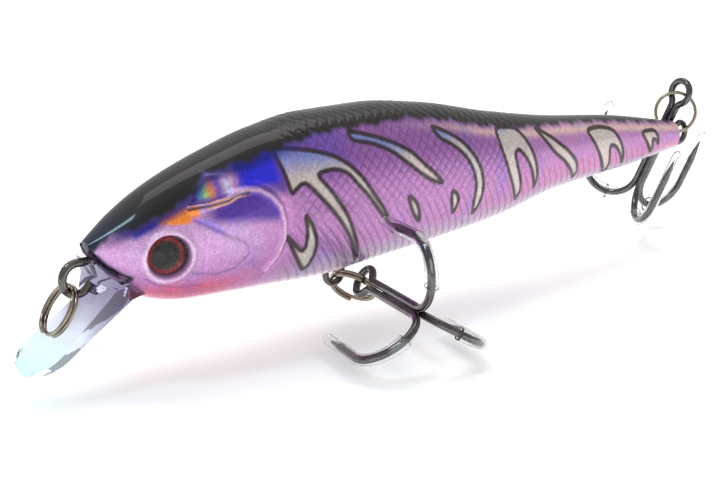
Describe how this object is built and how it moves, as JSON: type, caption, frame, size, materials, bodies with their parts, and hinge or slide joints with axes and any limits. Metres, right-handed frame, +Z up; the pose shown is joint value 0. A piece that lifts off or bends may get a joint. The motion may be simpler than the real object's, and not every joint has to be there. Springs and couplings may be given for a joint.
{
  "type": "crankbait lure",
  "caption": "Slender hard fishing lure with a clear diving lip, split rings, hooded treble hooks and sliding weights inside.",
  "frame": {"origin": "centre of the line-tie eye under the nose", "axes": "+X from nose to tail, +Z up towards the back, left flank on -Y"},
  "size_m": [0.0963, 0.0319, 0.0224],
  "materials": {
    "foil_plastic": "black gloss back over a lavender holographic flank",
    "clear_plastic": "clear polished",
    "eye_print": "printed",
    "lens": "clear gloss",
    "dark_nickel": "dark nickel plate",
    "ballast": "turned",
    "steel_ball": "polished",
    "warm_nickel": "warm nickel plate",
    "black_nickel": "black nickel plate",
    "soft_clear": "soft clear vinyl"
  },
  "bodies": {
    "body": {"left_shell": "foil_plastic", "right_shell": "foil_plastic", "diving_lip": "clear_plastic", "left_eye_disc": "eye_print", "right_eye_disc": "eye_print", "left_eye_dome": "lens", "right_eye_dome": "lens", "line_tie_wire": "dark_nickel", "belly_hanger_wire": "dark_nickel", "tail_hanger_wire": "dark_nickel", "chest_ballast": "ballast"},
    "ball_front": {"front_ball": "steel_ball"},
    "ball_rear": {"rear_ball": "steel_ball"},
    "tie_ring": {"line_tie_ring": "warm_nickel"},
    "ring_belly": {"belly_ring": "warm_nickel"},
    "ring_tail": {"tail_ring": "warm_nickel"},
    "treble_belly": {"belly_hook_pair": "black_nickel", "belly_hook_single": "black_nickel"},
    "treble_tail": {"tail_hook_pair": "black_nickel", "tail_hook_single": "black_nickel"},
    "hood_belly_a": {"belly_bonnet_a": "soft_clear"},
    "hood_belly_b": {"belly_bonnet_b": "soft_clear"},
    "hood_belly_c": {"belly_bonnet_c": "soft_clear"},
    "hood_tail_a": {"tail_bonnet_a": "soft_clear"},
    "hood_tail_b": {"tail_bonnet_b": "soft_clear"},
    "hood_tail_c": {"tail_bonnet_c": "soft_clear"}
  },
  "joints": [
    {"name": "weight_shift_front", "type": "slide", "parent": "body", "child": "ball_front", "axis": [1, 0, 0], "range_m": [0, 0.011]},
    {"name": "weight_shift_rear", "type": "slide", "parent": "body", "child": "ball_rear", "axis": [1, 0, 0], "range_m": [0, 0.011]},
    {"name": "line_ring_swing", "type": "hinge", "parent": "body", "child": "tie_ring", "pos_m": [0, 0, 0], "axis": [0, 1, 0], "range_deg": [0, 100]},
    {"name": "belly_ring_swing", "type": "hinge", "parent": "body", "child": "ring_belly", "pos_m": [0.0293, 0, -0.00516], "axis": [0.1231, 0.8599, -0.4953], "range_deg": [0, 12]},
    {"name": "belly_treble_swing", "type": "hinge", "parent": "ring_belly", "child": "treble_belly", "pos_m": [0.03101, -0.00317, -0.00557], "axis": [0.8231, -0.2725, -0.4982], "range_deg": [-10, 50]},
    {"name": "tail_ring_swing", "type": "hinge", "parent": "body", "child": "ring_tail", "pos_m": [0.0827, 0, 0.0027], "axis": [0.6983, -0.6812, 0.2199], "range_deg": [0, 4]},
    {"name": "tail_treble_swing", "type": "hinge", "parent": "ring_tail", "child": "treble_tail", "pos_m": [0.08328, 0.00038, 0.00729], "axis": [0.9801, -0.0478, -0.1924], "range_deg": [0, 3]},
    {"name": "belly_bonnet_a_pull", "type": "slide", "parent": "treble_belly", "child": "hood_belly_a", "axis": [0.2922, 0.9555, -0.04], "range_m": [0, 0.012]},
    {"name": "belly_bonnet_b_pull", "type": "slide", "parent": "treble_belly", "child": "hood_belly_b", "axis": [0.2922, 0.9555, -0.04], "range_m": [0, 0.001]},
    {"name": "belly_bonnet_c_pull", "type": "slide", "parent": "treble_belly", "child": "hood_belly_c", "axis": [0.2922, 0.9555, -0.04], "range_m": [0, 0.012]},
    {"name": "tail_bonnet_a_pull", "type": "slide", "parent": "treble_tail", "child": "hood_tail_a", "axis": [0.1651, -0.3403, 0.9257], "range_m": [0, 0.012]},
    {"name": "tail_bonnet_b_pull", "type": "slide", "parent": "treble_tail", "child": "hood_tail_b", "axis": [0.1651, -0.3403, 0.9257], "range_m": [0, 0.004]},
    {"name": "tail_bonnet_c_pull", "type": "slide", "parent": "treble_tail", "child": "hood_tail_c", "axis": [0.1651, -0.3403, 0.9257], "range_m": [0, 0.012]}
  ],
  "couplings": [
    {"joint": "weight_shift_front", "follows": "weight_shift_rear", "ratio": 1}
  ]
}
